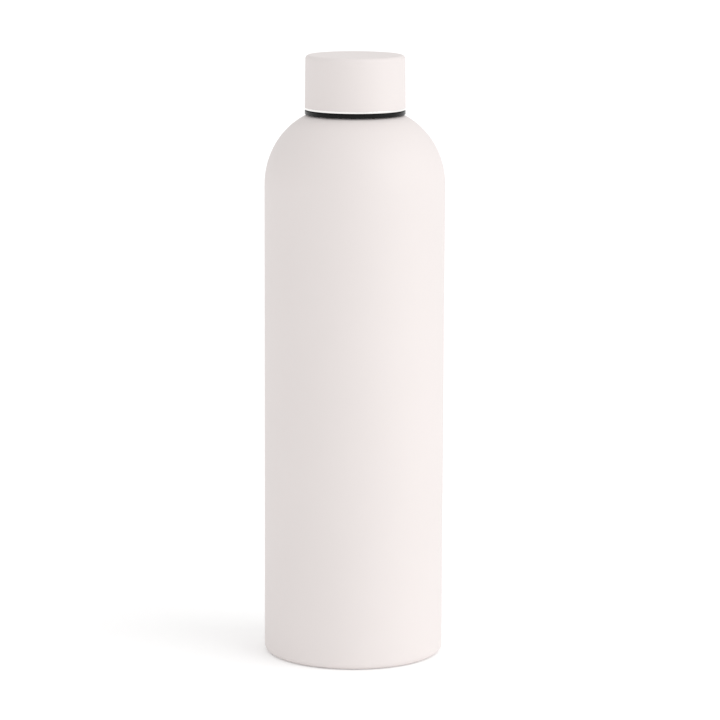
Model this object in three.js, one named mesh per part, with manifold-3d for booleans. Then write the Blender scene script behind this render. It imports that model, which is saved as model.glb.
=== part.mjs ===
// Insulated water bottle: a double-walled vacuum flask in painted steel with a foam-filled screw cap.
// Units are millimetres, +Z is up, and the bottle stands on z = 0 with its axis on the Z axis.
import * as THREE from 'three';
import { mergeVertices } from 'three/addons/utils/BufferGeometryUtils.js';
import Module from 'manifold-3d';

const wasm = await Module();
wasm.setup();

// ---- Driving dimensions: body -------------------------------------------------------------------
const BODY_RADIUS = 41.5;
const OUTER_WALL = 0.5;
const FOOT_FILLET = 2.8;
const FOOT_RING_INNER_RADIUS = 36.5;
const FOOT_FLANGE_RADIUS = 35.5;
const FOOT_FLANGE_TOP = 4.0;

// The shoulder is a quarter ellipse that stops just before the neck and blends into it.
const SHOULDER_START = 219.2;
const SHOULDER_CENTRE_RADIUS = 8.5;
const SHOULDER_RISE = 35.1;
const SHOULDER_END_ANGLE = 68.6;

const NECK_RADIUS = 19.6;
const OUTER_NECK_TOP = 270.5;

// ---- Driving dimensions: screw thread, right-handed, one start ----------------------------------
const THREAD_LEAD = 5.0;
const THREAD_ROOT_WIDTH = 2.4;
const THREAD_CREST_WIDTH = 1.0;
const THREAD_RUN_OUT = 22.5;
const NECK_THREAD_CREST_RADIUS = 20.6;
const NECK_THREAD_START = 257.2;
const NECK_THREAD_DEGREES = 630;
const CAP_THREAD_CREST_RADIUS = 19.95;
const CAP_THREAD_ROOT_RADIUS = 20.95;
const CAP_THREAD_FIRST_DEGREES = 90;
const CAP_THREAD_LAST_DEGREES = 540;

// ---- Driving dimensions: inner bottle -----------------------------------------------------------
const LINER_RADIUS = 37.4;
const LINER_WALL = 0.4;
const LINER_BOTTOM = 22.3;
const LINER_SHOULDER_RISE = 30.8;
const LINER_SHOULDER_END_ANGLE = 65.7;
const LINER_NECK_RADIUS = 18.6;
const LIP_RADIUS = 19.8;
const LIP_UNDERSIDE = 270.8;
const LIP_TOP = 271.7;
const INNER_CUP_TOP = 22.0;
const INNER_CUP_BOTTOM = 8.6;
const INNER_CUP_CORNER = 8.0;
const FOIL_RADIUS = 37.85;
const FOIL_THICKNESS = 0.15;
const FOIL_BOTTOM = 25.0;
const FOIL_TOP = 215.0;

// ---- Driving dimensions: base -------------------------------------------------------------------
const BASE_CUP_RADIUS = 35.2;
const BASE_CUP_FLANGE_BOTTOM = 1.5;
const BASE_CUP_TOP = 4.0;
const BASE_CUP_CORNER = 1.0;
const DIMPLE_MOUTH_RADIUS = 8.5;
const DIMPLE_FLOOR_RADIUS = 7.0;
const DIMPLE_TOP = 7.0;
const VACUUM_PORT_RADIUS = 1.1;
const BEAD_RADIUS = 3.4;
const BEAD_TOP = 6.2;
const BEAD_DEPTH = 1.6;
const COVER_RADIUS = 34.3;
const COVER_THICKNESS = 0.4;
const COVER_RIM_BOTTOM = 1.6;
const COVER_STEP_RADIUS = 28.8;
const GETTER_OFFSET = 18.0;
const GETTER_HOLDER_RADIUS = 5.0;
const GETTER_HOLDER_WALL = 0.3;
const GETTER_HOLDER_BOTTOM = 4.3;
const GETTER_HOLDER_TOP = 6.5;
const GETTER_PELLET_RADIUS = 4.4;
const GETTER_PELLET_BOTTOM = 4.9;
const GETTER_PELLET_TOP = 6.3;

// ---- Driving dimensions: cap --------------------------------------------------------------------
const CAP_TOP = 278.6;
const CAP_BOTTOM = 253.7;
const CAP_BOTTOM_RADIUS = 23.1;
const CAP_TOP_RADIUS = 22.85;
const CAP_EDGE_FILLET = 1.8;
const CAP_WALL = 0.5;
const FLANGE_RADIUS = 23.1;
const FLANGE_BOTTOM = 251.5;
const FLANGE_TOP = 253.3;
const FLANGE_BOTTOM_FILLET = 0.3;
const FLANGE_TOP_CHAMFER = 0.25;
const FLANGE_MOUTH_RADIUS = 22.2;
const FLANGE_MOUTH_HEIGHT = 251.8;
const SKIRT_BOTTOM_RADIUS = 22.3;
const SKIRT_TOP_RADIUS = 22.05;
const SKIRT_THREAD_ENTRY = 253.8;
const CEILING_BOTTOM = 273.6;
const CEILING_TOP = 275.0;
const PLUG_RADIUS = 16.9;
const PLUG_WALL = 1.4;
const PLUG_BOTTOM = 262.0;
const PLUG_TOP = 273.3;
const PLUG_CORNER = 2.0;
const PLUG_BEAD_RADIUS = 17.5;
const PLUG_BEAD_HEIGHT = 271.3;
const SEAL_INNER_RADIUS = 17.2;
const SEAL_OUTER_RADIUS = 20.6;
const SEAL_BOTTOM = 272.0;
const SEAL_TOP = 273.3;
const SEAL_CHAMFER = 0.3;
const CAP_FOAM_RADIUS = 21.0;
const CAP_FOAM_BOTTOM = 275.3;
const CAP_FOAM_TOP = 277.8;
const FOAM_GAP = 0.3;

// ---- Facets around the axis ---------------------------------------------------------------------
const OUTSIDE_SEGMENTS = 48;
const INSIDE_SEGMENTS = 36;
const SMALL_SEGMENTS = 20;

// ---- Materials: one fresh material for each piece -----------------------------------------------
function paintedSteel() {
  return new THREE.MeshStandardMaterial({ color: 0xeae5e3, roughness: 0.6, metalness: 0.0 });
}

function bareSteel() {
  return new THREE.MeshStandardMaterial({ color: 0xb9bcc0, roughness: 0.3, metalness: 1.0 });
}

function aluminiumFoil() {
  return new THREE.MeshStandardMaterial({ color: 0xd3d6d9, roughness: 0.25, metalness: 1.0 });
}

function getterAlloy() {
  return new THREE.MeshStandardMaterial({ color: 0x5d5f63, roughness: 0.8, metalness: 0.6 });
}

function sealingGlass() {
  return new THREE.MeshStandardMaterial({ color: 0x4a5650, roughness: 0.1, metalness: 0.0 });
}

function blackPlastic() {
  return new THREE.MeshStandardMaterial({ color: 0x151515, roughness: 0.3, metalness: 0.0 });
}

function paleFoam() {
  return new THREE.MeshStandardMaterial({ color: 0xefeadb, roughness: 0.95, metalness: 0.0 });
}

function clearSilicone() {
  return new THREE.MeshStandardMaterial({ color: 0xdadcdc, roughness: 0.45, metalness: 0.0 });
}

// ---- Profiles: every point is (distance from the axis, height) ----------------------------------
function point(radius, height) {
  return new THREE.Vector2(radius, height);
}

// Points along an elliptical arc. Angles are in degrees, from straight outward towards straight up.
function ellipseArc(centre, radialAxis, heightAxis, fromDegrees, toDegrees, steps) {
  const points = [];
  for (let step = 0; step <= steps; step += 1) {
    const angle = THREE.MathUtils.degToRad(THREE.MathUtils.lerp(fromDegrees, toDegrees, step / steps));
    const radius = centre.x + radialAxis * Math.cos(angle);
    const height = centre.y + heightAxis * Math.sin(angle);
    points.push(point(radius, height));
  }
  return points;
}

function arc(centre, radius, fromDegrees, toDegrees, steps) {
  return ellipseArc(centre, radius, radius, fromDegrees, toDegrees, steps);
}

// A shoulder that curves inward from a vertical wall, then turns up into a vertical neck.
// The blend is the one circle that touches both the end of the ellipse and the neck.
function shoulderAndNeck(wallRadius, rise, endAngle, neckRadius, neckTop) {
  const centre = point(SHOULDER_CENTRE_RADIUS, SHOULDER_START);
  const radialAxis = wallRadius - SHOULDER_CENTRE_RADIUS;
  const shoulder = ellipseArc(centre, radialAxis, rise, 0, endAngle, 7);
  const angle = THREE.MathUtils.degToRad(endAngle);
  const normal = point(rise * Math.cos(angle), radialAxis * Math.sin(angle)).normalize();
  const end = shoulder[shoulder.length - 1];
  const blendRadius = (end.x - neckRadius) / (1 - normal.x);
  const blendCentre = end.clone().addScaledVector(normal, blendRadius);
  const touchAngle = 180 + THREE.MathUtils.radToDeg(normal.angle());
  const blend = arc(blendCentre, blendRadius, touchAngle, 180, 3).slice(1);
  return [...shoulder, ...blend, point(neckRadius, neckTop)];
}

// Unit vector to the left of the step from one profile point to the next.
function leftOf(from, to) {
  const step = to.clone().sub(from).normalize();
  return point(-step.y, step.x);
}

// The other face of a sheet: the profile moved to its left by the sheet's thickness, with mitred corners.
function otherFace(profile, thickness) {
  const last = profile.length - 1;
  return profile.map((here, index) => {
    const stepBefore = Math.max(index - 1, 0);
    const stepAfter = Math.min(index, last - 1);
    const before = leftOf(profile[stepBefore], profile[stepBefore + 1]);
    const after = leftOf(profile[stepAfter], profile[stepAfter + 1]);
    const mitre = before.clone().add(after).normalize();
    return here.clone().addScaledVector(mitre, thickness / mitre.dot(after));
  });
}

// The closed outline of a piece of sheet metal, from the profile of its outer face.
function sheetOutline(profile, thickness) {
  return [...profile, ...otherFace(profile, thickness).reverse()];
}

// Revolves an outline about the Z axis. An outline that is clear of the axis is closed on itself.
function revolve(outline, segments) {
  const points = outline.map((corner) => corner.clone());
  if (THREE.ShapeUtils.area(points) < 0) {
    points.reverse();
  }
  if (points[0].x > 0) {
    points.push(points[0].clone());
  }
  return new THREE.LatheGeometry(points, segments).rotateX(Math.PI / 2);
}

// ---- Threads ------------------------------------------------------------------------------------
// The four corners of a thread ridge where it crosses one angle, as a section of radius and height.
function ridgeSection(buriedRadius, crestRadius, height) {
  const corners = [
    point(buriedRadius, height - THREAD_ROOT_WIDTH / 2),
    point(crestRadius, height - THREAD_CREST_WIDTH / 2),
    point(crestRadius, height + THREAD_CREST_WIDTH / 2),
    point(buriedRadius, height + THREAD_ROOT_WIDTH / 2),
  ];
  return THREE.ShapeUtils.area(corners) < 0 ? corners.reverse() : corners;
}

// A thread ridge swept up a helix. Its root is buried in the wall, and at each end its crest sinks in too.
function threadRidge(buriedRadius, crestRadius, heightAtZero, fromDegrees, toDegrees) {
  const stepDegrees = 360 / OUTSIDE_SEGMENTS;
  const steps = Math.round((toDegrees - fromDegrees) / stepDegrees);
  const positions = [];
  const indices = [];
  for (let step = 0; step <= steps; step += 1) {
    const degrees = fromDegrees + step * stepDegrees;
    const angle = THREE.MathUtils.degToRad(degrees);
    const fromEnd = Math.min(step, steps - step) * stepDegrees;
    const proud = 0.1 + 0.9 * Math.min(fromEnd / THREAD_RUN_OUT, 1);
    const crest = THREE.MathUtils.lerp(buriedRadius, crestRadius, proud);
    const height = heightAtZero + (THREAD_LEAD * degrees) / 360;
    for (const corner of ridgeSection(buriedRadius, crest, height)) {
      positions.push(corner.x * Math.cos(angle), corner.x * Math.sin(angle), corner.y);
    }
    if (step < steps) {
      addRidgeSides(indices, step * 4);
    }
  }
  const lastCorner = steps * 4;
  indices.push(0, 1, 2, 0, 2, 3);
  indices.push(lastCorner, lastCorner + 2, lastCorner + 1, lastCorner, lastCorner + 3, lastCorner + 2);
  const geometry = new THREE.BufferGeometry();
  geometry.setAttribute('position', new THREE.Float32BufferAttribute(positions, 3));
  geometry.setIndex(indices);
  return geometry;
}

// The four sides that join one ridge section to the next.
function addRidgeSides(indices, firstCorner) {
  for (let side = 0; side < 4; side += 1) {
    const here = firstCorner + side;
    const beside = firstCorner + ((side + 1) % 4);
    indices.push(here, here + 4, beside);
    indices.push(beside, here + 4, beside + 4);
  }
}

// ---- Joining solids -----------------------------------------------------------------------------
function toSolid(geometry) {
  const bare = geometry.clone();
  bare.deleteAttribute('normal');
  bare.deleteAttribute('uv');
  const welded = mergeVertices(bare, 1e-3);
  const triangles = [];
  const index = welded.index.array;
  for (let at = 0; at < index.length; at += 3) {
    const [first, second, third] = index.slice(at, at + 3);
    if (first !== second && second !== third && third !== first) {
      triangles.push(first, second, third);
    }
  }
  const vertProperties = Float32Array.from(welded.attributes.position.array);
  const triVerts = Uint32Array.from(triangles);
  return new wasm.Manifold(new wasm.Mesh({ numProp: 3, vertProperties, triVerts }));
}

function join(body, addition) {
  const joined = toSolid(body).add(toSolid(addition)).getMesh();
  const geometry = new THREE.BufferGeometry();
  geometry.setAttribute('position', new THREE.BufferAttribute(joined.vertProperties, 3));
  geometry.setIndex(new THREE.BufferAttribute(joined.triVerts, 1));
  return geometry;
}

// ---- The bottle's outside -----------------------------------------------------------------------
// One drawn steel shell: flange in the base recess, foot ring, straight wall, shoulder, threaded neck.
function outerShell() {
  const flangeBend = FOOT_RING_INNER_RADIUS - FOOT_FLANGE_RADIUS;
  const outerFace = [
    point(FOOT_FLANGE_RADIUS, FOOT_FLANGE_TOP),
    ...arc(point(FOOT_RING_INNER_RADIUS, flangeBend), flangeBend, 180, 270, 2),
    ...arc(point(BODY_RADIUS - FOOT_FILLET, FOOT_FILLET), FOOT_FILLET, 270, 360, 4),
    ...shoulderAndNeck(BODY_RADIUS, SHOULDER_RISE, SHOULDER_END_ANGLE, NECK_RADIUS, OUTER_NECK_TOP),
  ];
  const shell = revolve(sheetOutline(outerFace, OUTER_WALL), OUTSIDE_SEGMENTS);
  const buried = NECK_RADIUS - OUTER_WALL / 2;
  const thread = threadRidge(buried, NECK_THREAD_CREST_RADIUS, NECK_THREAD_START, 0, NECK_THREAD_DEGREES);
  return join(shell, thread);
}

// ---- The inner bottle ---------------------------------------------------------------------------
// The wall that holds the drink. Its neck ends in a thick lip that covers the end of the outer neck.
function innerLiner() {
  const bore = LINER_NECK_RADIUS - LINER_WALL;
  const rise = LINER_SHOULDER_RISE;
  const endAngle = LINER_SHOULDER_END_ANGLE;
  const outerFace = [
    point(LINER_RADIUS, LINER_BOTTOM),
    ...shoulderAndNeck(LINER_RADIUS, rise, endAngle, LINER_NECK_RADIUS, LIP_UNDERSIDE),
  ];
  const lip = [
    point(LIP_RADIUS, LIP_UNDERSIDE),
    ...arc(point(LIP_RADIUS - 0.4, LIP_TOP - 0.4), 0.4, 0, 90, 2),
    ...arc(point(bore + 0.4, LIP_TOP - 0.4), 0.4, 90, 180, 2),
  ];
  const innerFace = otherFace(outerFace, LINER_WALL).slice(0, -1);
  return revolve([...outerFace, ...lip, ...innerFace.reverse()], INSIDE_SEGMENTS);
}

// The pressed bottom of the inner bottle, butted to the lower end of the liner.
function innerBaseCup() {
  const corner = point(LINER_RADIUS - INNER_CUP_CORNER, INNER_CUP_BOTTOM + INNER_CUP_CORNER);
  const innerRadius = LINER_RADIUS - LINER_WALL;
  const outline = [
    point(0, INNER_CUP_BOTTOM),
    ...arc(corner, INNER_CUP_CORNER, 270, 360, 5),
    point(LINER_RADIUS, INNER_CUP_TOP),
    point(innerRadius, INNER_CUP_TOP),
    ...arc(corner, INNER_CUP_CORNER - LINER_WALL, 360, 270, 5),
    point(0, INNER_CUP_BOTTOM + LINER_WALL),
  ];
  return revolve(outline, INSIDE_SEGMENTS);
}

// Thin foil around the liner, in the vacuum gap, that turns radiated heat back.
function foilWrap() {
  const outline = [
    point(FOIL_RADIUS - FOIL_THICKNESS, FOIL_BOTTOM),
    point(FOIL_RADIUS, FOIL_BOTTOM),
    point(FOIL_RADIUS, FOIL_TOP),
    point(FOIL_RADIUS - FOIL_THICKNESS, FOIL_TOP),
  ];
  return revolve(outline, INSIDE_SEGMENTS);
}

// ---- The base -----------------------------------------------------------------------------------
// The pressed steel bottom of the vacuum space, with a dimple around the port the air is pumped out of.
function outerBaseCup() {
  const corner = point(BASE_CUP_RADIUS - BASE_CUP_CORNER, BASE_CUP_TOP - BASE_CUP_CORNER);
  const upperFace = [
    point(VACUUM_PORT_RADIUS, DIMPLE_TOP),
    point(DIMPLE_FLOOR_RADIUS, DIMPLE_TOP),
    point(DIMPLE_MOUTH_RADIUS, BASE_CUP_TOP),
    ...arc(corner, BASE_CUP_CORNER, 90, 0, 3),
    point(BASE_CUP_RADIUS, BASE_CUP_FLANGE_BOTTOM),
  ];
  return revolve(sheetOutline(upperFace, -OUTER_WALL), INSIDE_SEGMENTS);
}

// The drop of glass that melted over the port and keeps the vacuum in.
function vacuumSealBead() {
  const round = ellipseArc(point(0, BEAD_TOP), BEAD_RADIUS, BEAD_DEPTH, 0, -90, 4);
  return revolve([point(0, BEAD_TOP), ...round.slice(0, -1), point(0, BEAD_TOP - BEAD_DEPTH)], SMALL_SEGMENTS);
}

// The steel disc that closes the recess under the bottle, with its middle pressed up a little.
function baseCoverPlate() {
  const rise = COVER_THICKNESS;
  const lowerFace = [
    point(0, COVER_RIM_BOTTOM + rise),
    point(COVER_STEP_RADIUS - 1, COVER_RIM_BOTTOM + rise),
    point(COVER_STEP_RADIUS, COVER_RIM_BOTTOM),
    point(COVER_RADIUS, COVER_RIM_BOTTOM),
  ];
  const upperFace = lowerFace.map((corner) => point(corner.x, corner.y + COVER_THICKNESS));
  return revolve([...lowerFace, ...upperFace.reverse()], INSIDE_SEGMENTS);
}

// The small open pan fixed on the outer base cup, inside the vacuum.
function getterHolder() {
  const innerRadius = GETTER_HOLDER_RADIUS - GETTER_HOLDER_WALL;
  const outline = [
    point(0, GETTER_HOLDER_BOTTOM),
    point(GETTER_HOLDER_RADIUS, GETTER_HOLDER_BOTTOM),
    point(GETTER_HOLDER_RADIUS, GETTER_HOLDER_TOP),
    point(innerRadius, GETTER_HOLDER_TOP),
    point(innerRadius, GETTER_HOLDER_BOTTOM + GETTER_HOLDER_WALL),
    point(0, GETTER_HOLDER_BOTTOM + GETTER_HOLDER_WALL),
  ];
  return revolve(outline, SMALL_SEGMENTS).translate(GETTER_OFFSET, 0, 0);
}

// A plain round block, from its radius and the heights of its two flat faces.
function disc(radius, bottom, top, segments) {
  return revolve([point(0, bottom), point(radius, bottom), point(radius, top), point(0, top)], segments);
}

// The tablet of alloy that soaks up the last gas in the vacuum.
function getterPellet() {
  const tablet = disc(GETTER_PELLET_RADIUS, GETTER_PELLET_BOTTOM, GETTER_PELLET_TOP, SMALL_SEGMENTS);
  return tablet.translate(GETTER_OFFSET, 0, 0);
}

// ---- The cap ------------------------------------------------------------------------------------
// The painted steel cover of the cap: a flat top, a rounded edge and a wall that widens downward.
function capShell() {
  const edge = point(CAP_TOP_RADIUS - CAP_EDGE_FILLET, CAP_TOP - CAP_EDGE_FILLET);
  const outerFace = [
    point(CAP_BOTTOM_RADIUS, CAP_BOTTOM),
    ...arc(edge, CAP_EDGE_FILLET, 0, 90, 3),
    point(0, CAP_TOP),
  ];
  return revolve(sheetOutline(outerFace, CAP_WALL), OUTSIDE_SEGMENTS);
}

// The moulded inside of the cap: flange under the steel cover, threaded skirt and a flat ceiling.
// The flange's underside rises inward, beside the slope of the shoulder under it.
function capLiner() {
  const flangeEdge = point(FLANGE_RADIUS - FLANGE_BOTTOM_FILLET, FLANGE_BOTTOM + FLANGE_BOTTOM_FILLET);
  const outline = [
    point(0, CEILING_BOTTOM),
    point(CAP_THREAD_ROOT_RADIUS, CEILING_BOTTOM),
    point(CAP_THREAD_ROOT_RADIUS, SKIRT_THREAD_ENTRY),
    point(FLANGE_MOUTH_RADIUS, FLANGE_MOUTH_HEIGHT),
    ...arc(flangeEdge, FLANGE_BOTTOM_FILLET, 270, 360, 2),
    point(FLANGE_RADIUS, FLANGE_TOP - FLANGE_TOP_CHAMFER),
    point(FLANGE_RADIUS - FLANGE_TOP_CHAMFER, FLANGE_TOP),
    point(SKIRT_BOTTOM_RADIUS, FLANGE_TOP),
    point(SKIRT_TOP_RADIUS, CEILING_TOP - 0.5),
    point(SKIRT_TOP_RADIUS - 0.5, CEILING_TOP),
    point(0, CEILING_TOP),
  ];
  const body = revolve(outline, OUTSIDE_SEGMENTS);
  const buried = CAP_THREAD_ROOT_RADIUS + 0.4;
  const halfLeadBelow = NECK_THREAD_START - THREAD_LEAD / 2;
  const first = CAP_THREAD_FIRST_DEGREES;
  const thread = threadRidge(buried, CAP_THREAD_CREST_RADIUS, halfLeadBelow, first, CAP_THREAD_LAST_DEGREES);
  return join(body, thread);
}

// The cup that hangs inside the mouth of the bottle and holds the thick insulation.
// A low bead around it keeps the seal from dropping off.
function plugCup() {
  const corner = point(PLUG_RADIUS - PLUG_CORNER, PLUG_BOTTOM + PLUG_CORNER);
  const innerRadius = PLUG_RADIUS - PLUG_WALL;
  const beadReach = PLUG_BEAD_RADIUS - PLUG_RADIUS;
  const outline = [
    point(0, PLUG_BOTTOM),
    ...arc(corner, PLUG_CORNER, 270, 360, 3),
    point(PLUG_RADIUS, PLUG_BEAD_HEIGHT - beadReach),
    point(PLUG_BEAD_RADIUS, PLUG_BEAD_HEIGHT),
    point(PLUG_RADIUS, PLUG_BEAD_HEIGHT + beadReach / 2),
    point(PLUG_RADIUS, PLUG_TOP),
    point(innerRadius, PLUG_TOP),
    point(innerRadius, PLUG_BOTTOM + PLUG_WALL),
    point(0, PLUG_BOTTOM + PLUG_WALL),
  ];
  return revolve(outline, INSIDE_SEGMENTS);
}

function plugFoamCore() {
  const radius = PLUG_RADIUS - PLUG_WALL - FOAM_GAP;
  return disc(radius, PLUG_BOTTOM + PLUG_WALL + FOAM_GAP, PLUG_TOP, INSIDE_SEGMENTS);
}

function capFoamDisc() {
  return disc(CAP_FOAM_RADIUS, CAP_FOAM_BOTTOM, CAP_FOAM_TOP, INSIDE_SEGMENTS);
}

// The flat ring that the lip of the bottle presses into when the cap is closed.
function sealRing() {
  const outline = [
    point(SEAL_INNER_RADIUS + SEAL_CHAMFER, SEAL_BOTTOM),
    point(SEAL_OUTER_RADIUS - SEAL_CHAMFER, SEAL_BOTTOM),
    point(SEAL_OUTER_RADIUS, SEAL_BOTTOM + SEAL_CHAMFER),
    point(SEAL_OUTER_RADIUS, SEAL_TOP),
    point(SEAL_INNER_RADIUS, SEAL_TOP),
    point(SEAL_INNER_RADIUS, SEAL_BOTTOM + SEAL_CHAMFER),
  ];
  return revolve(outline, INSIDE_SEGMENTS);
}

// ---- Assembly -----------------------------------------------------------------------------------
const group = new THREE.Group();

function addPiece(name, geometry, material) {
  const mesh = new THREE.Mesh(geometry, material);
  mesh.name = name;
  group.add(mesh);
}

addPiece('outer_shell', outerShell(), paintedSteel());
addPiece('inner_liner', innerLiner(), bareSteel());
addPiece('inner_base_cup', innerBaseCup(), bareSteel());
addPiece('foil_wrap', foilWrap(), aluminiumFoil());
addPiece('outer_base_cup', outerBaseCup(), bareSteel());
addPiece('vacuum_seal_bead', vacuumSealBead(), sealingGlass());
addPiece('base_cover_plate', baseCoverPlate(), bareSteel());
addPiece('getter_holder', getterHolder(), bareSteel());
addPiece('getter_pellet', getterPellet(), getterAlloy());
addPiece('cap_shell', capShell(), paintedSteel());
addPiece('cap_liner', capLiner(), blackPlastic());
addPiece('plug_cup', plugCup(), blackPlastic());
addPiece('plug_foam_core', plugFoamCore(), paleFoam());
addPiece('cap_foam_disc', capFoamDisc(), paleFoam());
addPiece('seal_ring', sealRing(), clearSilicone());

export default group;
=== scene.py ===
# %% [markdown]
# # An insulated water bottle
# This is a vacuum flask: two thin steel bottles, one inside the other, with nothing but empty space between
# them, and a screw cap filled with foam. Nearly every piece is round, so nearly every piece can be made the
# same way: draw half of its cross-section and turn that outline about the bottle's axis.
#
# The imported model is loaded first, as a fixed frame. It settles where everything is and what moves.

import bpy
import numpy as np
from mathutils import Matrix, Vector


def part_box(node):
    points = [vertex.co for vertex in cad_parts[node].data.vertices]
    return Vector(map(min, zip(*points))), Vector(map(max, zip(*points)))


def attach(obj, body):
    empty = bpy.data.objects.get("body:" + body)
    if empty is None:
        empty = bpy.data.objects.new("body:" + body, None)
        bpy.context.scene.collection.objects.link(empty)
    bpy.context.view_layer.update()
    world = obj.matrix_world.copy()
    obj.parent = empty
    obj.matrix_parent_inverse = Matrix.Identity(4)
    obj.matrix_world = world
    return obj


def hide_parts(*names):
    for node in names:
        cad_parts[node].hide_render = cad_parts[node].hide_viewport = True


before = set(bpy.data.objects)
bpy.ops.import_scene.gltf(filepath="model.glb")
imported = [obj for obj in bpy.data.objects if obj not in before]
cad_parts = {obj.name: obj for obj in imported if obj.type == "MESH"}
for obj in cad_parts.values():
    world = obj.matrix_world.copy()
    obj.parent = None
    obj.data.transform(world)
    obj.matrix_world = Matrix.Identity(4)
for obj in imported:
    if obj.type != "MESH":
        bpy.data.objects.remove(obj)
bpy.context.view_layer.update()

# %% [markdown]
# ## Sizes
# Every size of the bottle is in millimetres, because that is how such a bottle is drawn and measured. Blender
# works in metres, so the last step of making a mesh scales it. The main sizes are read from the frame's own
# solids, so the finished pieces cannot drift away from them.

# %% Read the main sizes
MM = 0.001


def size_of(node):
    """Outer radius, bottom and top of a frame solid in millimetres. The radius holds for one on the axis."""
    low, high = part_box(node)
    return high.x / MM, low.z / MM, high.z / MM


BODY_RADIUS, FOOT, OUTER_NECK_TOP = size_of("outer_shell")
LINER_RADIUS, LINER_BOTTOM, LIP_TOP = size_of("inner_liner")
CAP_RADIUS, CAP_BOTTOM, CAP_TOP = size_of("cap_shell")
FLANGE_RADIUS, FLANGE_BOTTOM, CEILING_TOP = size_of("cap_liner")
print(f"body {2 * BODY_RADIUS:.1f} mm across, {CAP_TOP:.1f} mm tall; cap {2 * CAP_RADIUS:.1f} mm across")

# %% [markdown]
# ## From outline to surface
# An outline is a list of points, each a distance from the axis and a height. Real pressed and moulded parts
# have no perfectly sharp corners, so the outlines are given as corners with a fillet radius, and one function
# swings every fillet at once. Highlights run along those fillets, and they are what makes a small part read
# as metal or as plastic.

# %% Outlines
def unit(vectors):
    """The vectors scaled to length 1; a zero vector stays zero."""
    return vectors / np.maximum(np.linalg.norm(vectors, axis=-1, keepdims=True), 1e-9)


def without_repeats(outline):
    """The outline without points that fall on the point before them."""
    step = np.linalg.norm(np.diff(outline, axis=0), axis=1)
    return outline[np.r_[True, step > 1e-5]]


def rounded(corners, steps=6):
    """An outline from rows of (radius, height, fillet).

    The fillet circle at a corner touches both sides. Its centre lies on the line that halves the corner, at
    fillet / sin(half the corner), and it touches each side at fillet / tan(half the corner) from the corner.
    """
    corners = np.asarray(corners, float)
    place, fillet = corners[:, :2], corners[:, 2:]
    back, ahead = unit(np.roll(place, 1, 0) - place), unit(np.roll(place, -1, 0) - place)
    cosine = np.clip((back * ahead).sum(1, keepdims=True), -1, 1)
    half = np.maximum(np.arccos(cosine) / 2, 1e-3)
    centre = place + unit(back + ahead) * fillet / np.sin(half)
    first = place + back * fillet / np.tan(half) - centre
    last = place + ahead * fillet / np.tan(half) - centre
    start = np.arctan2(first[:, 1], first[:, 0])
    turn = np.arctan2(last[:, 1], last[:, 0]) - start
    turn = (turn + np.pi) % (2 * np.pi) - np.pi
    angle = start[:, None] + turn[:, None] * np.linspace(0, 1, steps + 1)
    ring = np.stack([np.cos(angle), np.sin(angle)], axis=2)
    return without_repeats((centre[:, None] + fillet[:, None] * ring).reshape(-1, 2))


def ellipse_arc(centre, half_width, half_height, start, end, steps):
    """Points of an ellipse about centre, from one angle to another, in degrees from straight outward."""
    angle = np.radians(np.linspace(start, end, steps + 1))
    return np.stack([centre[0] + half_width * np.cos(angle), centre[1] + half_height * np.sin(angle)], axis=1)


def beside(outline, distance):
    """The outline moved to its left. Each point goes along the mean of its two sides' normals, by
    distance / cos(half the turn), so the sheet keeps its thickness round a bend."""
    side = unit(np.diff(outline, axis=0))
    left = np.stack([-side[:, 1], side[:, 0]], axis=1)
    before, after = np.vstack([left[:1], left]), np.vstack([left, left[-1:]])
    mitre = unit(before + after)
    return outline + mitre * distance / (mitre * after).sum(1, keepdims=True)


def held_flat(outline, margin=0.2):
    """The outline with a point added near both ends of every long side. Shading is smooth everywhere, and
    these points keep each fillet's bend from spreading over the flat beside it."""
    start, end = outline[:-1], outline[1:]
    length = np.linalg.norm(end - start, axis=1, keepdims=True)
    inset = np.where(length > 4 * margin, margin, 0) / np.maximum(length, 1e-9)
    trio = np.stack([start, start + (end - start) * inset, end - (end - start) * inset], axis=1)
    return without_repeats(np.vstack([trio.reshape(-1, 2), outline[-1:]]))


# %% [markdown]
# Turning the outline gives a grid of points: one row for each outline point, one column for each angle. An
# outline that starts and ends on the axis is closed there with a fan of triangles; one that stays clear of
# the axis is closed on itself, like a tyre. Either way the surface has no open edge.

# %% Surfaces
COLUMNS = 192


def revolve(outline, bulge=None, off_axis=0.0, columns=COLUMNS):
    """The grid (radius cos angle, radius sin angle, height) of an outline turned about the axis.

    bulge(angle, radius, height) may return a length to add to each radius, for a thread or a crinkle.
    off_axis moves the whole grid out along X, for a small round piece that stands beside the axis.
    """
    outline = held_flat(np.asarray(outline, float))
    following = np.roll(outline, -1, 0)
    area = (outline[:, 0] * following[:, 1] - following[:, 0] * outline[:, 1]).sum()
    outline = outline if area > 0 else outline[::-1]
    angle, radius = np.meshgrid(np.linspace(0, 2 * np.pi, columns, endpoint=False), outline[:, 0])
    height = np.repeat(outline[:, 1:], columns, axis=1)
    if bulge is not None:
        radius = radius + bulge(angle, radius, height)
    return np.stack([radius * np.cos(angle) + off_axis, radius * np.sin(angle), height], axis=2)


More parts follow.
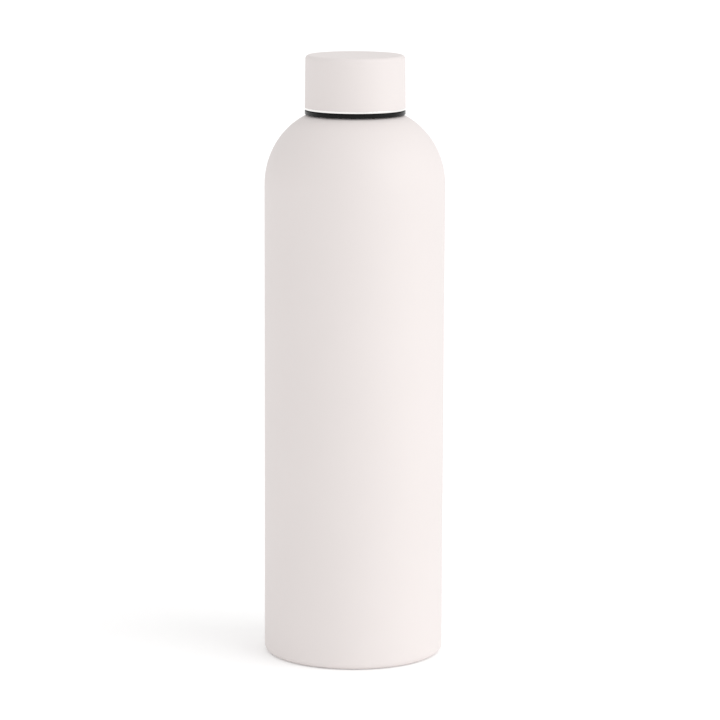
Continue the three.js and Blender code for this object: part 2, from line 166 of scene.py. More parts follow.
def add_piece(name, grid, material, body, node):
    """Puts a grid into a mesh, closes its seam and its ends, and hangs it on the frame.

    Point (row, column) is number row * columns + column. Each face joins a point to the next column, then to
    the next row. Rows at the axis collapse to one point there, with a fan of triangles round it.
    """
    ring_radius = np.ptp(grid[:, :, 0], axis=1)
    rings = grid[ring_radius > 1e-6]
    rows, columns = rings.shape[:2]
    number = np.arange(rows * columns).reshape(rows, columns)
    points = rings.reshape(-1, 3)
    touches_axis = len(rings) < len(grid)
    low = number[:-1] if touches_axis else number
    high = number[1:] if touches_axis else np.roll(number, -1, 0)
    faces = np.stack([low, np.roll(low, -1, 1), np.roll(high, -1, 1), high], axis=2).reshape(-1, 4).tolist()
    if touches_axis:
        first, last = len(points), len(points) + 1
        points = np.vstack([points, grid[0, :1], grid[-1, :1]])
        fan = np.stack([np.full(columns, first), np.roll(number[0], -1), number[0]], axis=1)
        other = np.stack([np.full(columns, last), number[-1], np.roll(number[-1], -1)], axis=1)
        faces += fan.tolist() + other.tolist()
    mesh = bpy.data.meshes.new(name)
    mesh.from_pydata(points * MM, [], faces)
    mesh.shade_smooth()
    mesh.materials.append(material)
    made = bpy.data.objects.new(name, mesh)
    bpy.context.collection.objects.link(made)
    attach(made, body)
    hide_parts(node)
    print(f"{name}: {len(mesh.vertices)} points, {len(mesh.polygons)} faces, on {body}")


# %% [markdown]
# ## Writing materials
# Colours are picked as the sRGB hex codes a paint chart would give, and turned to the linear values that
# light adds up in. A small function adds each node with its settings and links, so that a material can be
# read from top to bottom.

# %% Material tools
def linear(hex_code):
    """sRGB to linear: below 0.04045 divide by 12.92, above it raise (value + 0.055) / 1.055 to 2.4."""
    srgb = np.array([int(hex_code[at:at + 2], 16) for at in (1, 3, 5)]) / 255
    value = np.where(srgb <= 0.04045, srgb / 12.92, ((srgb + 0.055) / 1.055) ** 2.4)
    return (*value.tolist(), 1.0)


def add_node(material, kind, inputs=None, **settings):
    """Adds a node. An input is a plain value, or another node's output to link from."""
    tree = material.node_tree
    made = tree.nodes.new(kind)
    for name, value in settings.items():
        setattr(made, name, value)
    for socket, value in (inputs or {}).items():
        if isinstance(value, bpy.types.NodeSocket):
            tree.links.new(value, made.inputs[socket])
        else:
            made.inputs[socket].default_value = value
    return made


def new_material(name, **shader_values):
    """A material with an empty tree, a Principled shader set as given, and object coordinates in metres."""
    material = bpy.data.materials.new(name)
    material.use_nodes = True
    material.node_tree.nodes.clear()
    values = {key.replace("_", " ").title().replace("Ior", "IOR"): value
              for key, value in shader_values.items()}
    shader = add_node(material, "ShaderNodeBsdfPrincipled", values)
    add_node(material, "ShaderNodeOutputMaterial", {"Surface": shader.outputs["BSDF"]})
    place = add_node(material, "ShaderNodeTexCoord").outputs["Object"]
    return material, shader, place


def per_metre(size_in_mm):
    """The noise scale that gives features of about this size, because Object coordinates are in metres."""
    return 1 / (size_in_mm * MM)


# %% [markdown]
# ### The coat: soft matte powder coat
# The body and the cap cover are sprayed with a fine polyester powder that melts in an oven. It flows almost
# level, but keeps a faint orange peel a few millimetres wide and a finer grain you feel more than see. The
# tone drifts a little from place to place. The finish is a low sheen: no reflections, only a soft roll-off of
# light from one side to the other.

# %% Powder coat
def powder_coat():
    """Off-white powder coat: orange peel 2.6 mm across, grain 0.45 mm across, and a slow drift of tone."""
    material, shader, place = new_material("soft_matte_powder_coat", metallic=0.0, ior=1.5)
    drift = add_node(material, "ShaderNodeTexNoise", {
        "Vector": place, "Scale": per_metre(45), "Detail": 2.0})
    tone = add_node(material, "ShaderNodeMix", {
        "Factor": drift.outputs["Fac"], "A": linear("#dcd5d3"), "B": linear("#e0d9d7")}, data_type="RGBA")
    grain = add_node(material, "ShaderNodeTexNoise", {
        "Vector": place, "Scale": per_metre(0.45), "Detail": 2.0})
    peel = add_node(material, "ShaderNodeTexNoise", {
        "Vector": place, "Scale": per_metre(2.6), "Detail": 1.0})
    gloss = add_node(material, "ShaderNodeMapRange", {
        "Value": grain.outputs["Fac"], "From Min": 0.3, "From Max": 0.7, "To Min": 0.5, "To Max": 0.62})
    waves = add_node(material, "ShaderNodeBump", {
        "Height": peel.outputs["Fac"], "Strength": 0.5, "Distance": 0.012 * MM})
    fine = add_node(material, "ShaderNodeBump", {
        "Height": grain.outputs["Fac"], "Strength": 0.5, "Distance": 0.006 * MM,
        "Normal": waves.outputs["Normal"]})
    links = material.node_tree.links
    links.new(tone.outputs["Result"], shader.inputs["Base Color"])
    links.new(gloss.outputs["Result"], shader.inputs["Roughness"])
    links.new(fine.outputs["Normal"], shader.inputs["Normal"])
    return material


coat = powder_coat()
print("coat:", coat.name)

# %% [markdown]
# ### Bare stainless steel
# The flask is 18/8 stainless steel, and its maker leaves it bare where paint would be rubbed or swallowed.
# Each zone is worked in another way, which is mostly a matter of how rough it is and which way the marks run:
# turned and brushed round the neck, polished at the hem and lip, spun with rings on the base disc, and
# electropolished inside. One function makes them all, and stretches a noise along the direction of the marks.

# %% Stainless steel
def stainless(name, colour, roughness, mark, stretch, depth):
    """Stainless steel with marks mark mm wide, longer by stretch (x, y, z), depth mm deep."""
    material, shader, place = new_material(name, metallic=1.0)
    scale = tuple(per_metre(mark) / length for length in stretch)
    along = add_node(material, "ShaderNodeMapping", {"Vector": place, "Scale": scale})
    marks = add_node(material, "ShaderNodeTexNoise", {
        "Vector": along.outputs["Vector"], "Scale": 1.0, "Detail": 3.0, "Roughness": 0.6})
    stain = add_node(material, "ShaderNodeTexNoise", {
        "Vector": place, "Scale": per_metre(14), "Detail": 2.0})
    both = add_node(material, "ShaderNodeMath", {
        0: marks.outputs["Fac"], 1: stain.outputs["Fac"]}, operation="MULTIPLY")
    gloss = add_node(material, "ShaderNodeMapRange", {
        "Value": both.outputs["Value"], "From Min": 0.12, "From Max": 0.4,
        "To Min": 0.8 * roughness, "To Max": 1.25 * roughness})
    darker = tuple(0.9 * value for value in linear(colour)[:3]) + (1.0,)
    tint = add_node(material, "ShaderNodeMix", {
        "Factor": stain.outputs["Fac"], "A": darker, "B": linear(colour)}, data_type="RGBA")
    relief = add_node(material, "ShaderNodeBump", {
        "Height": marks.outputs["Fac"], "Strength": 0.6, "Distance": depth * MM})
    links = material.node_tree.links
    links.new(tint.outputs["Result"], shader.inputs["Base Color"])
    links.new(gloss.outputs["Result"], shader.inputs["Roughness"])
    links.new(relief.outputs["Normal"], shader.inputs["Normal"])
    return material


turned_steel = stainless(
    "turned_stainless_neck", "#c9c8c6", roughness=0.26, mark=0.25, stretch=(60, 60, 1), depth=0.004)
polished_steel = stainless(
    "polished_stainless_hem", "#f7f5f3", roughness=0.1, mark=0.3, stretch=(40, 40, 1), depth=0.001)
inside_steel = stainless(
    "electropolished_stainless_liner", "#d6d5d2", roughness=0.3, mark=0.4, stretch=(30, 30, 1), depth=0.002)
pressed_steel = stainless(
    "cold_pressed_stainless", "#bdbdbb", roughness=0.38, mark=0.5, stretch=(3, 3, 3), depth=0.004)
print("steel:", [steel.name for steel in (turned_steel, polished_steel, inside_steel, pressed_steel)])

# %% [markdown]
# ### Spun rings on the base disc
# The disc under the bottle is brushed while it spins, so its marks are circles about the axis. Noise read
# along one line only, the distance from the axis, makes them.

# %% Spun steel
def spun_steel():
    """Stainless steel whose marks are rings: the noise's only coordinate is distance from the axis."""
    material, shader, place = new_material("spun_brushed_stainless", metallic=1.0)
    flat = add_node(material, "ShaderNodeVectorMath", {0: place, 1: (1.0, 1.0, 0.0)}, operation="MULTIPLY")
    away = add_node(material, "ShaderNodeVectorMath", {0: flat.outputs["Vector"]}, operation="LENGTH")
    rings = add_node(material, "ShaderNodeTexNoise", {
        "W": away.outputs["Value"], "Scale": per_metre(0.35), "Detail": 3.0}, noise_dimensions="1D")
    gloss = add_node(material, "ShaderNodeMapRange", {
        "Value": rings.outputs["Fac"], "From Min": 0.3, "From Max": 0.7, "To Min": 0.22, "To Max": 0.36})
    tint = add_node(material, "ShaderNodeMix", {
        "Factor": rings.outputs["Fac"], "A": linear("#b4b4b3"), "B": linear("#cdccca")}, data_type="RGBA")
    relief = add_node(material, "ShaderNodeBump", {
        "Height": rings.outputs["Fac"], "Strength": 0.7, "Distance": 0.006 * MM})
    links = material.node_tree.links
    links.new(tint.outputs["Result"], shader.inputs["Base Color"])
    links.new(gloss.outputs["Result"], shader.inputs["Roughness"])
    links.new(relief.outputs["Normal"], shader.inputs["Normal"])
    return material


disc_steel = spun_steel()
print("steel of the base disc:", disc_steel.name)

# %% [markdown]
# ### Mouldings, foam, silicone, foil, glass and getter
# The cap's inside is black polypropylene from a polished mould: glossy, with faint flow marks. The seal is
# milky silicone that lets a little light through. The foams are pale and porous. The glass that seals the
# vacuum port is dark and glossy, and the getter is a pressed tablet of dull grey metal powder.

# %% Other materials
def grained(name, low, high, grain, rough, depth, **shader_values):
    """A material with one isotropic grain of the given size in mm, that shifts colour, gloss and relief."""
    material, shader, place = new_material(name, **shader_values)
    noise = add_node(material, "ShaderNodeTexNoise", {
        "Vector": place, "Scale": per_metre(grain), "Detail": 3.0, "Roughness": 0.55})
    tint = add_node(material, "ShaderNodeMix", {
        "Factor": noise.outputs["Fac"], "A": linear(low), "B": linear(high)}, data_type="RGBA")
    gloss = add_node(material, "ShaderNodeMapRange", {
        "Value": noise.outputs["Fac"], "From Min": 0.3, "From Max": 0.7,
        "To Min": rough[0], "To Max": rough[1]})
    relief = add_node(material, "ShaderNodeBump", {
        "Height": noise.outputs["Fac"], "Strength": 0.7, "Distance": depth * MM})
    links = material.node_tree.links
    links.new(tint.outputs["Result"], shader.inputs["Base Color"])
    links.new(gloss.outputs["Result"], shader.inputs["Roughness"])
    links.new(relief.outputs["Normal"], shader.inputs["Normal"])
    return material


black_moulding = grained(
    "polished_black_polypropylene", "#050505", "#0b0b0b", grain=1.6, rough=(0.2, 0.3), depth=0.004,
    ior=1.49, specular_ior_level=0.17)
silicone = grained(
    "milky_silicone_rubber", "#dcdedd", "#e8eae9", grain=1.2, rough=(0.38, 0.5), depth=0.004,
    ior=1.41, subsurface_weight=0.4, subsurface_radius=(0.002, 0.002, 0.002), subsurface_scale=1.0)
foam = grained(
    "closed_cell_foam", "#d8cfb8", "#efe8d6", grain=0.7, rough=(0.85, 0.98), depth=0.12, ior=1.5)
foil_metal = grained(
    "crinkled_aluminium_foil", "#d9dadb", "#eeeeee", grain=3.0, rough=(0.16, 0.3), depth=0.02, metallic=1.0)
port_glass = grained(
    "fused_sealing_glass", "#1f2a26", "#33413b", grain=0.8, rough=(0.04, 0.1), depth=0.002, ior=1.52)
getter_metal = grained(
    "pressed_getter_powder", "#4c4e50", "#6c6d6e", grain=0.3, rough=(0.6, 0.8), depth=0.03, metallic=0.7)
others = (black_moulding, silicone, foam, foil_metal, port_glass, getter_metal)
print("other materials:", [made.name for made in others])

# %% [markdown]
# ## The outer bottle
# A tube of steel is spun in at the top into the shoulder and the neck, and at the foot its edge turns in, up
# into the recess under the bottle. The shoulder is a quarter of an ellipse a little taller than it is wide.
# It stops short of the neck, and a small hollow curve joins the two.

# %% The outer face
STEEL_WALL = 0.5
COAT = 0.1
FOOT_FLANGE_RADIUS = 35.5
FOOT_FLANGE_TOP = 4.0
FOOT_BEND = 1.0
FOOT_FILLET = 2.8
SHOULDER_START = 219.2
SHOULDER_CENTRE = 8.5
SHOULDER_RISE = 35.1
SHOULDER_END_ANGLE = 68.6
NECK_RADIUS = 19.6
COAT_END = 254.9


def shoulder_and_neck(wall_radius, rise, end_angle, neck_radius, neck_top, steps=40):
    """A quarter ellipse from a vertical wall, then the one circle that touches both its end and the neck.

    With n the ellipse's outward normal at its end, the circle's radius is
    (end radius - neck radius) / (1 - n's radial part), and its centre lies that far along n.
    """
    half_width = wall_radius - SHOULDER_CENTRE
    shoulder = ellipse_arc((SHOULDER_CENTRE, SHOULDER_START), half_width, rise, 0, end_angle, steps)
    angle = np.radians(end_angle)
    normal = unit(np.array([rise * np.cos(angle), half_width * np.sin(angle)]))
    blend = (shoulder[-1, 0] - neck_radius) / (1 - normal[0])
    centre = shoulder[-1] + normal * blend
    touch = 180 + np.degrees(np.arctan2(normal[1], normal[0]))
    hollow = ellipse_arc(centre, blend, blend, touch, 180, 8)
    return np.vstack([shoulder, hollow[1:], [[neck_radius, neck_top]]])


foot = rounded([
    [FOOT_FLANGE_RADIUS, FOOT_FLANGE_TOP, 0], [FOOT_FLANGE_RADIUS, FOOT, FOOT_BEND],
    [BODY_RADIUS, FOOT, FOOT_FILLET], [BODY_RADIUS, SHOULDER_START, 0]], steps=10)
shoulder = shoulder_and_neck(BODY_RADIUS, SHOULDER_RISE, SHOULDER_END_ANGLE, NECK_RADIUS, COAT_END)
outer_face = np.vstack([foot[:-1], shoulder])
print("outer face:", len(outer_face), "outline points")

# %% [markdown]
# The coat is a layer with a thickness, 0.1 mm, and not just a colour: it ends in a small step on the neck,
# under the cap, where the bare thread begins. So it is a skin of its own, whose outside is the bottle's
# outside, and the steel lies just under it.

# %% The coat on the bottle
add_piece("bottle_coat", revolve(np.vstack([outer_face, beside(outer_face, COAT)[::-1]])),
          coat, "bottle", "outer_shell")

# %% [markdown]
# The thread is rolled into the bare neck. It is one ridge that climbs 5 mm each turn, with sloping sides, a
# narrow top and a run-out at each end. On the grid of the neck it is a bulge: the distance of a point from
# the ridge's centre line, measured up the neck, says how much radius to add.

# %% Threads
LEAD = 5.0
RUN_OUT = 22.5
THREAD_HEIGHT = 1.0
CREST_WIDTH = 0.9
NECK_THREAD_START = 257.2


def ridge(angle, height, start_height, first, last, root_width, crest_width, tall):
    """How far a thread ridge stands up at each (angle, height).

    The centre line passes start_height at angle 0 and climbs one lead a turn, between the first and last
    angle in degrees. Across it the ridge is full height over crest_width and slopes to nothing at root_width;
    the slope is eased at its foot and its top. It rises from nothing over the run-out at each end.
    """
    degrees = np.degrees(angle)
    turns = np.round(((height - start_height) / LEAD * 360 - degrees) / 360)
    along = degrees + 360 * turns
    off_line = np.abs(height - start_height - LEAD * along / 360)
    slope = np.clip((root_width / 2 - off_line) / (root_width / 2 - crest_width / 2), 0, 1)
    fade = np.clip(np.minimum(along - first, last - along) / RUN_OUT, 0, 1)
    return tall * slope * slope * (3 - 2 * slope) * fade * fade * (3 - 2 * fade)


def neck_thread(angle, radius, height):
    """The ridge on the outside of the neck, and nothing elsewhere."""
    on_neck = (radius > NECK_RADIUS - 0.01) & (height > COAT_END + 0.3)
    standing = ridge(angle, height, start_height=NECK_THREAD_START, first=0, last=630,
                     root_width=2.12, crest_width=CREST_WIDTH, tall=THREAD_HEIGHT)
    return np.where(on_neck, standing, 0)


# %% [markdown]
# The steel shell goes up under the coat, steps out to the bare neck, climbs the thread in fine rows so that
# the ridge has somewhere to be, and comes back down on the inside of the sheet.

# %% The steel shell
NECK_ROWS = 130
NECK_MIDDLE = 260
neck_heights = np.linspace(COAT_END + 0.35, OUTER_NECK_TOP - 0.6, NECK_ROWS)
neck_outline = np.stack([np.full(NECK_ROWS, NECK_RADIUS), neck_heights], axis=1)
neck_edge = rounded([
    [NECK_RADIUS, OUTER_NECK_TOP - 0.5, 0], [NECK_RADIUS, OUTER_NECK_TOP, 0.15],
    [NECK_RADIUS - STEEL_WALL, OUTER_NECK_TOP, 0.15], [NECK_RADIUS - STEEL_WALL, NECK_MIDDLE, 0]], steps=4)
steel_outline = np.vstack([
    beside(outer_face, COAT), [[NECK_RADIUS, COAT_END + 0.15]], neck_outline, neck_edge,
    beside(outer_face, STEEL_WALL)[::-1]])
add_piece("bottle_steel_shell", revolve(steel_outline, neck_thread),
          turned_steel, "bottle", "outer_shell")

# %% [markdown]
# ## The inner bottle
# This is what the drink touches. It follows the outer bottle 3.6 mm inside it. Its neck passes up inside the
# outer neck, and its rim is folded out and dressed into a smooth lip that is comfortable to drink from. The
# two necks meet only there, because every touch between the walls would leak heat.

# %% The drink liner
LINER_WALL = 0.4
LINER_SHOULDER_RISE = 30.8
LINER_SHOULDER_END_ANGLE = 65.7
LINER_NECK = 18.6
LIP_RADIUS = 19.8
LIP_UNDER = 270.8
LIP_FILLET = 0.42

liner_shoulder = shoulder_and_neck(
    LINER_RADIUS, LINER_SHOULDER_RISE, LINER_SHOULDER_END_ANGLE, LINER_NECK, LIP_UNDER - 0.5, steps=32)
liner_face = np.vstack([[[LINER_RADIUS, LINER_BOTTOM]], liner_shoulder])
lip = rounded([
    [LINER_NECK, LIP_UNDER - 0.4, 0], [LINER_NECK, LIP_UNDER, 0.15], [LIP_RADIUS, LIP_UNDER, 0.2],
    [LIP_RADIUS, LIP_TOP, LIP_FILLET], [LINER_NECK - LINER_WALL, LIP_TOP, LIP_FILLET],
    [LINER_NECK - LINER_WALL, LIP_UNDER - 0.4, 0]], steps=8)
add_piece("drink_liner", revolve(np.vstack([liner_face, lip, beside(liner_face, LINER_WALL)[::-1]])),
          inside_steel, "bottle", "inner_liner")

# %% [markdown]
# The bottom of the inner bottle is a shallow pressed cup with a generous corner, so that it can be rinsed
# clean, butt-welded to the liner's lower edge.

# %% The liner's bottom
CUP_CORNER = 8.0
cup_radius, cup_bottom, cup_top = size_of("inner_base_cup")
cup_outline = rounded([
    [0, cup_bottom, 0], [cup_radius, cup_bottom, CUP_CORNER], [cup_radius, cup_top, 0.1],
    [cup_radius - LINER_WALL, cup_top, 0.1],
    [cup_radius - LINER_WALL, cup_bottom + LINER_WALL, CUP_CORNER - LINER_WALL],
    [0, cup_bottom + LINER_WALL, 0]], steps=12)
add_piece("liner_bottom", revolve(cup_outline), inside_steel, "bottle", "inner_base_cup")

# %% [markdown]
# ## In the vacuum
# A sheet of foil is wrapped round the liner before the two bottles are welded together. It is thin enough to
# crinkle, and it turns radiated heat back. The crinkles are sums of slanted waves whose directions are drawn
# at random from a fixed seed; folding each wave at its middle gives the creases.

# %% The foil
FOIL = 0.15
FOIL_ROWS = 240
CRINKLE = 0.28
WAVES = 9
foil_radius, foil_bottom, foil_top = size_of("foil_wrap")
chance = np.random.default_rng(7)
around = chance.integers(3, 14, WAVES)
upward = chance.uniform(-0.35, 0.35, WAVES)
shift = chance.uniform(0, 2 * np.pi, WAVES)


def crinkle(angle, radius, height):
    """The mean of folded waves: each is the absolute sine of (around * angle + upward * height + shift).

    The mean of an absolute sine is about 0.64, so that much is taken off to crinkle in and out alike.
    """
    phase = around * angle[..., None] + upward * height[..., None] + shift
    return CRINKLE * (np.abs(np.sin(phase)).mean(-1) - 0.64)


foil_heights = np.linspace(foil_bottom, foil_top, FOIL_ROWS)
foil_outline = np.vstack([
    np.stack([np.full(FOIL_ROWS, foil_radius), foil_heights], axis=1),
    np.stack([np.full(FOIL_ROWS, foil_radius - FOIL), foil_heights[::-1]], axis=1)])
add_piece("heat_foil", revolve(foil_outline, crinkle), foil_metal, "bottle", "foil_wrap")

# %% [markdown]
# ## The base
# The outer bottle is closed by a pressed cup. In the middle it has a dimple with a small port, through which
# the air is drawn out in a furnace. A pellet of glass lies in the dimple and melts over the port, and a
# brushed disc covers it all. The getter sits on the vacuum side in its own little pan.

# %% The base cup
PORT_RADIUS = 1.1
DIMPLE_FLOOR = 7.0
DIMPLE_MOUTH = 8.5
DIMPLE_LEAN = 0.31
base_radius, base_bottom, dimple_top = size_of("outer_base_cup")
base_top = FOOT_FLANGE_TOP
base_outline = rounded([
    [PORT_RADIUS, dimple_top, 0.15], [DIMPLE_FLOOR, dimple_top, 0.8], [DIMPLE_MOUTH, base_top, 0.8],
    [base_radius, base_top, 1.0], [base_radius, base_bottom, 0.15],
    [base_radius - STEEL_WALL, base_bottom, 0.15], [base_radius - STEEL_WALL, base_top - STEEL_WALL, 0.5],
    [DIMPLE_MOUTH - DIMPLE_LEAN, base_top - STEEL_WALL, 0.5],
    [DIMPLE_FLOOR - DIMPLE_LEAN, dimple_top - STEEL_WALL, 0.5],
    [PORT_RADIUS, dimple_top - STEEL_WALL, 0.15]])
add_piece("base_cup", revolve(base_outline), pressed_steel, "bottle", "outer_base_cup")

# %% [markdown]
# The drop of glass hangs under the port. Surface tension rounds it, so its outline is an elliptical arc,
# with a flat top where it wets the steel.

# %% The glass over the port
SMALL_COLUMNS = 96
bead_radius, bead_bottom, bead_top = size_of("vacuum_seal_bead")
widest = bead_top - 0.2
drop = ellipse_arc((0, widest), bead_radius, widest - bead_bottom, -90, 0, 14)
bead_outline = np.vstack([
    drop, [[bead_radius - 0.08, bead_top - 0.06], [bead_radius - 0.3, bead_top], [0, bead_top]]])
add_piece("port_glass_bead", revolve(bead_outline, columns=SMALL_COLUMNS),
          port_glass, "bottle", "vacuum_seal_bead")

# %% [markdown]
# The cover disc hides the rest of the base. Its middle is pressed up by its own thickness, which stiffens it
# and gives the eye a fine bright ring near its edge.

# %% The cover disc
DISC = 0.4
STEP_INSIDE = 27.8
STEP_OUTSIDE = 28.8
disc_radius, disc_bottom, disc_top = size_of("base_cover_plate")
disc_outline = rounded([
    [0, disc_bottom + DISC, 0], [STEP_INSIDE, disc_bottom + DISC, 0.6], [STEP_OUTSIDE, disc_bottom, 0.6],
    [disc_radius, disc_bottom, 0.15], [disc_radius, disc_bottom + DISC, 0.12],
    [STEP_OUTSIDE, disc_bottom + DISC, 0.6], [STEP_INSIDE, disc_top, 0.6], [0, disc_top, 0]], steps=5)
add_piece("base_disc", revolve(disc_outline), disc_steel, "bottle", "base_cover_plate")

# %% [markdown]
# The getter is a tablet of metal powder in a shallow pan. The two are the only pieces off the axis, so their
# outlines are turned about their own centre line and the grid is then moved out to where the pan is welded.

# %% The getter and its pan
GETTER_AT = 18.0
PAN_RADIUS = 5.0
PAN_WALL = 0.3
TABLET_RADIUS = 4.4
pan_bottom, pan_top = size_of("getter_holder")[1:]
pan_outline = rounded([
    [0, pan_bottom, 0], [PAN_RADIUS, pan_bottom, 0.5], [PAN_RADIUS, pan_top, 0.12],
    [PAN_RADIUS - PAN_WALL, pan_top, 0.12], [PAN_RADIUS - PAN_WALL, pan_bottom + PAN_WALL, 0.25],
    [0, pan_bottom + PAN_WALL, 0]], steps=5)
add_piece("getter_pan", revolve(pan_outline, off_axis=GETTER_AT, columns=SMALL_COLUMNS),
          pressed_steel, "bottle", "getter_holder")
tablet_bottom, tablet_top = size_of("getter_pellet")[1:]
tablet_outline = rounded([
    [0, tablet_bottom, 0], [TABLET_RADIUS, tablet_bottom, 0.25], [TABLET_RADIUS, tablet_top, 0.25],
    [0, tablet_top, 0]], steps=4)
add_piece("getter_tablet", revolve(tablet_outline, off_axis=GETTER_AT, columns=SMALL_COLUMNS),
          getter_metal, "bottle", "getter_pellet")

# %% [markdown]
# ## The cap
# The cover is a drawn steel cup, coated like the bottle. Its lowest 0.8 mm is left bare and polished: a fine
# bright line all round. A hair's breadth of shadow parts it from the edge of the coat. The wall widens by a
# quarter of a millimetre from top to bottom, because a drawn cup has to come off its punch.

# %% The cap's steel cup and its coat
HEM = 0.8
EDGE = 1.8
CAP_TOP_RADIUS = 22.839
WALL_SLOPE = (CAP_RADIUS - CAP_TOP_RADIUS) / (CAP_TOP - CAP_BOTTOM)


def cap_wall(height):
    """The cover's outer radius at a height: it narrows evenly from its lower edge to its top."""
    return CAP_RADIUS - WALL_SLOPE * (height - CAP_BOTTOM)


hem_top = CAP_BOTTOM + HEM
coat_edge = hem_top + 0.15
cap_coat_outline = rounded([
    [0, CAP_TOP, 0], [CAP_TOP_RADIUS, CAP_TOP, EDGE], [cap_wall(coat_edge), coat_edge, 0.06],
    [cap_wall(coat_edge) - COAT, coat_edge, 0], [CAP_TOP_RADIUS - COAT, CAP_TOP - COAT, EDGE - COAT],
    [0, CAP_TOP - COAT, 0]], steps=12)
add_piece("cap_coat", revolve(cap_coat_outline), coat, "cap", "cap_shell")
cap_cup_outline = rounded([
    [0, CAP_TOP - COAT, 0], [CAP_TOP_RADIUS - COAT, CAP_TOP - COAT, EDGE - COAT],
    [cap_wall(hem_top) - COAT, hem_top + 0.02, 0.02], [cap_wall(hem_top), hem_top, 0.05],
    [CAP_RADIUS, CAP_BOTTOM, 0.22], [CAP_RADIUS - STEEL_WALL, CAP_BOTTOM, 0.12],
    [CAP_TOP_RADIUS - STEEL_WALL, CAP_TOP - STEEL_WALL, EDGE - STEEL_WALL],
    [0, CAP_TOP - STEEL_WALL, 0]], steps=12)
add_piece("cap_steel_cup", revolve(cap_cup_outline), polished_steel, "cap", "cap_shell")

# %% [markdown]
# The moulding inside the cap does the work: its skirt carries the thread, its ceiling presses the seal onto
# the lip, and its flange shows as the black ring under the bright hem, flush with the cap. The underside of
# the flange slopes like the shoulder below it, so that only a hair of light gets in between. The moulded
# thread is a ridge that points inward, half a lead below the ridge of the neck.

# %% The cap's moulding
SKIRT_BORE = 20.95
SKIRT_RADIUS = 22.05
SKIRT_FOOT_RADIUS = 22.3
THREAD_ENTRY = 253.8
BORE_FOOT = 254.3
BORE_TOP = 265.2
CEILING = 273.6
FLANGE_TOP = 253.3
FLANGE_MOUTH = 22.2
UNDERSIDE_RISE = 0.3


def cap_thread(angle, radius, height):
    """The ridge on the inside of the skirt, which takes radius away, and nothing elsewhere."""
    in_bore = (np.abs(radius - SKIRT_BORE) < 0.01) & (height < BORE_TOP + 0.8)
    standing = ridge(angle, height, start_height=NECK_THREAD_START - LEAD / 2, first=90, last=540,
                     root_width=2.0, crest_width=CREST_WIDTH, tall=THREAD_HEIGHT)
    return np.where(in_bore, -standing, 0)


BORE_ROWS = 90
bore_heights = np.linspace(BORE_TOP - 0.2, BORE_FOOT + 0.1, BORE_ROWS)
moulding_outline = np.vstack([
    rounded([[0, CEILING, 0], [SKIRT_BORE, CEILING, 0.3], [SKIRT_BORE, BORE_TOP, 0]], steps=5),
    np.stack([np.full(BORE_ROWS, SKIRT_BORE), bore_heights], axis=1),
    rounded([
        [SKIRT_BORE, BORE_FOOT, 0], [SKIRT_BORE, THREAD_ENTRY, 0.15],
        [FLANGE_MOUTH, FLANGE_BOTTOM + UNDERSIDE_RISE, 0.15], [FLANGE_RADIUS, FLANGE_BOTTOM, 0.2],
        [FLANGE_RADIUS, FLANGE_TOP, 0.2], [SKIRT_FOOT_RADIUS, FLANGE_TOP, 0.12],
        [SKIRT_RADIUS, CEILING_TOP, 0.5], [0, CEILING_TOP, 0]], steps=8)])
add_piece("cap_moulding", revolve(moulding_outline, cap_thread),
          black_moulding, "cap", "cap_liner")

# %% [markdown]
# The plug hangs in the mouth of the bottle and holds the thick foam. Under it is the small sunk ring that the
# mould's gate leaves, and near its top a bead keeps the seal from dropping off.

# %% The plug
PLUG_RADIUS = 16.9
PLUG_WALL = 1.4
STOP_BEAD_RADIUS = 17.5
STOP_BEAD_HEIGHT = 271.3
GATE_DEPTH = 0.25
plug_bottom, plug_top = size_of("plug_cup")[1:]
gate_floor = plug_bottom + GATE_DEPTH
plug_floor = plug_bottom + PLUG_WALL
gate_ring = [[0, plug_bottom, 0], [1.0, plug_bottom, 0.05], [1.2, gate_floor, 0.08], [2.4, gate_floor, 0.08],
             [2.6, plug_bottom, 0.08]]
plug_wall = [[PLUG_RADIUS, plug_bottom, 2.0], [PLUG_RADIUS, STOP_BEAD_HEIGHT - 0.6, 0.3],
             [STOP_BEAD_RADIUS, STOP_BEAD_HEIGHT, 0.15], [PLUG_RADIUS, STOP_BEAD_HEIGHT + 0.3, 0.1],
             [PLUG_RADIUS, plug_top, 0.2], [PLUG_RADIUS - PLUG_WALL, plug_top, 0.2],
             [PLUG_RADIUS - PLUG_WALL, plug_floor, 0.8], [0, plug_floor, 0]]
add_piece("plug_moulding", revolve(rounded(gate_ring + plug_wall, steps=7)),
          black_moulding, "cap", "plug_cup")

# %% [markdown]
# The foams are cut discs with soft edges. The seal is a flat ring whose lower corners, which meet the lip,
# are rounder than its upper ones.

# %% The foams and the seal
core_radius, core_bottom, core_top = size_of("plug_foam_core")
core_outline = rounded([
    [0, core_bottom, 0], [core_radius, core_bottom, 0.8], [core_radius, core_top, 0.6], [0, core_top, 0]])
add_piece("plug_foam", revolve(core_outline), foam, "cap", "plug_foam_core")

pad_radius, pad_bottom, pad_top = size_of("cap_foam_disc")
pad_outline = rounded([
    [0, pad_bottom, 0], [pad_radius, pad_bottom, 0.25], [pad_radius, pad_top, 0.25],
    [0, pad_top, 0]], steps=5)
add_piece("cap_foam", revolve(pad_outline), foam, "cap", "cap_foam_disc")

SEAL_BORE = 17.2
seal_radius, seal_bottom, seal_top = size_of("seal_ring")
seal_outline = rounded([
    [SEAL_BORE, seal_bottom, 0.35], [seal_radius, seal_bottom, 0.35], [seal_radius, seal_top, 0.2],
    [SEAL_BORE, seal_top, 0.2]])
add_piece("sealing_ring", revolve(seal_outline), silicone, "cap_seal", "seal_ring")

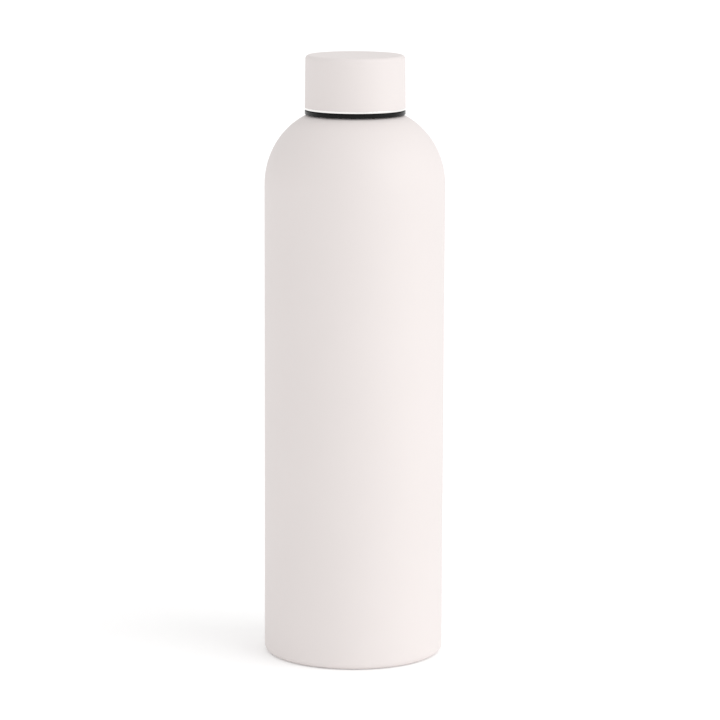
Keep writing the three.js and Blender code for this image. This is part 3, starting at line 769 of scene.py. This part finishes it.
# %% [markdown]
# ## Studio
# The bottle stands on a light table: a plain sheet of opal acrylic that runs out of sight in all directions,
# lit faintly from beneath, which is how white things are shown on white. The room is even white, and one
# broad, soft light from the front right, not far above the horizon, gives the slow turn from light to shade
# across the coat. The studio and the camera are measured in metres, as Blender does.

# %% Floor
def studio_white():
    """Opal acrylic sheet, lit faintly from beneath so that shadows on it stay pale."""
    material, shader, place = new_material(
        "backlit_opal_acrylic", roughness=0.9, ior=1.49, specular_ior_level=0.1,
        emission_color=(1, 1, 1, 1), emission_strength=0.11)
    cloud = add_node(material, "ShaderNodeTexNoise", {
        "Vector": place, "Scale": per_metre(6), "Detail": 2.0})
    tint = add_node(material, "ShaderNodeMix", {
        "Factor": cloud.outputs["Fac"], "A": linear("#f9f9f9"), "B": linear("#fafafa")}, data_type="RGBA")
    material.node_tree.links.new(tint.outputs["Result"], shader.inputs["Base Color"])
    return material


FLOOR_HALF = 30.0
BELOW_FOOT = 0.02 * MM
floor_mesh = bpy.data.meshes.new("studio_floor")
corners = np.array([[-1, -1, 0], [1, -1, 0], [1, 1, 0], [-1, 1, 0]]) * FLOOR_HALF - [0, 0, BELOW_FOOT]
floor_mesh.from_pydata(corners, [], [(0, 1, 2, 3)])
floor_mesh.materials.append(studio_white())
floor = bpy.data.objects.new("studio_floor", floor_mesh)
bpy.context.collection.objects.link(floor)
print(f"floor: {2 * FLOOR_HALF:.0f} m across")

# %% Light
def add_sun(name, azimuth, elevation, strength, spread):
    """A distant light. Azimuth 0 shines from the front, 90 from the right; spread is its width in degrees."""
    light = bpy.data.lights.new(name, "SUN")
    light.energy = strength
    light.angle = np.radians(spread)
    turn, rise = np.radians(azimuth), np.radians(elevation)
    towards = Vector((np.sin(turn) * np.cos(rise), -np.cos(turn) * np.cos(rise), np.sin(rise)))
    made = bpy.data.objects.new(name, light)
    made.rotation_mode = "QUATERNION"
    made.rotation_quaternion = towards.to_track_quat("Z", "Y")
    bpy.context.collection.objects.link(made)
    print(f"{name}: from {azimuth} degrees to the right, {elevation} degrees up")


world = bpy.data.worlds.new("even_white_room")
bpy.context.scene.world = world
world.use_nodes = True
room = world.node_tree.nodes["Background"]
room.inputs["Color"].default_value = (1, 1, 1, 1)
room.inputs["Strength"].default_value = 0.9
add_sun("broad_light_front_right", azimuth=65, elevation=27, strength=1.03, spread=60)
bpy.context.scene.view_settings.view_transform = "Standard"

# %% [markdown]
# ## Camera
# A long lens from a little above: far enough away that the bottle's sides stay almost parallel.

# %% Camera
CAMERA_BACK = 1.515
CAMERA_UP = 0.4
LOOK_DOWN = 9.838
ROLL = 0.0039
camera_data = bpy.data.cameras.new("front_camera")
camera_data.lens = 165.9
camera_data.sensor_width = 36
camera_data.shift_x = 0.0081
camera_data.clip_end = 100
camera = bpy.data.objects.new("front_camera", camera_data)
camera.matrix_world = (Matrix.Translation((0, -CAMERA_BACK, CAMERA_UP))
                       @ Matrix.Rotation(np.radians(90 - LOOK_DOWN), 4, "X") @ Matrix.Rotation(ROLL, 4, "Z"))
bpy.context.collection.objects.link(camera)
bpy.context.scene.camera = camera
print(f"camera: {CAMERA_BACK} m back, {CAMERA_UP} m up, {camera_data.lens:.1f} mm lens")
